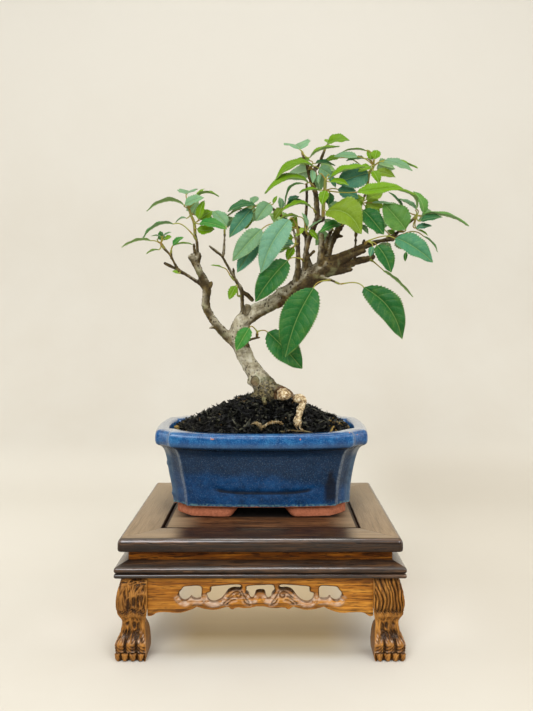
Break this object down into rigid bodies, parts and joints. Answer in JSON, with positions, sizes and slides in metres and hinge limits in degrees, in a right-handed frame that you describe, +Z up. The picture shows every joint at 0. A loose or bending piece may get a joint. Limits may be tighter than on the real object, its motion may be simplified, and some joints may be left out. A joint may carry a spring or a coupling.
{
  "type": "crabapple bonsai",
  "caption": "Leaning crabapple bonsai with bare twisting limbs and large toothed leaves, in a blue glazed pot with cut corners on a carved wooden stand.",
  "frame": {"origin": "middle of the underside of the whole object's box, on the floor under the stand", "axes": "+Z up, the front facing -Y, +X to the right as seen from the front"},
  "size_m": [0.306, 0.1994, 0.4278],
  "materials": {
    "dark_wood": "satin",
    "panel_wood": "satin",
    "honey_wood": "satin",
    "blue_glaze": "gloss",
    "screen_plastic": "matt",
    "soil": "matt",
    "bark": "matt",
    "leaf": "satin"
  },
  "bodies": {
    "root": {"top_rail_front": "dark_wood", "top_rail_back": "dark_wood", "top_rail_right": "dark_wood", "top_rail_left": "dark_wood", "top_panel": "panel_wood", "top_batten": "panel_wood", "waist_frame": "honey_wood", "moulding_frame": "dark_wood", "apron_front": "honey_wood", "apron_back": "honey_wood", "apron_right": "honey_wood", "apron_left": "honey_wood", "leg_front_left": "honey_wood", "leg_front_right": "honey_wood", "leg_back_right": "honey_wood", "leg_back_left": "honey_wood", "pot": "blue_glaze", "drain_screen_left": "screen_plastic", "drain_screen_right": "screen_plastic", "soil": "soil", "tree_wood": "bark", "shoot_left_leader": "leaf", "shoot_left_side": "leaf", "shoot_low_tip": "leaf", "shoot_low_spur": "leaf", "shoot_low_side": "leaf", "shoot_middle_top": "leaf", "shoot_middle_low": "leaf", "shoot_middle_side": "leaf", "shoot_trunk": "leaf", "shoot_under_near": "leaf", "shoot_under_tip": "leaf", "shoot_stem_low": "leaf", "shoot_stem_left": "leaf", "shoot_left_crown": "leaf", "shoot_left_crown_low": "leaf", "shoot_leader_low": "leaf", "shoot_leader_base": "leaf", "shoot_stem_side": "leaf", "shoot_leader_mid": "leaf", "shoot_leader_high": "leaf", "shoot_leader_top": "leaf", "shoot_top": "leaf", "shoot_young": "leaf", "shoot_thin": "leaf", "shoot_crown_right_low": "leaf", "shoot_crown_right": "leaf", "shoot_right_tip": "leaf", "shoot_right_mid": "leaf", "shoot_long_mid": "leaf", "shoot_long_tip": "leaf", "shoot_main_tip": "leaf", "shoot_stem_right": "leaf", "shoot_back_middle": "leaf", "shoot_back_low": "leaf", "shoot_back_left": "leaf", "shoot_back_right": "leaf", "shoot_back_top": "leaf"}
  },
  "joints": []
}
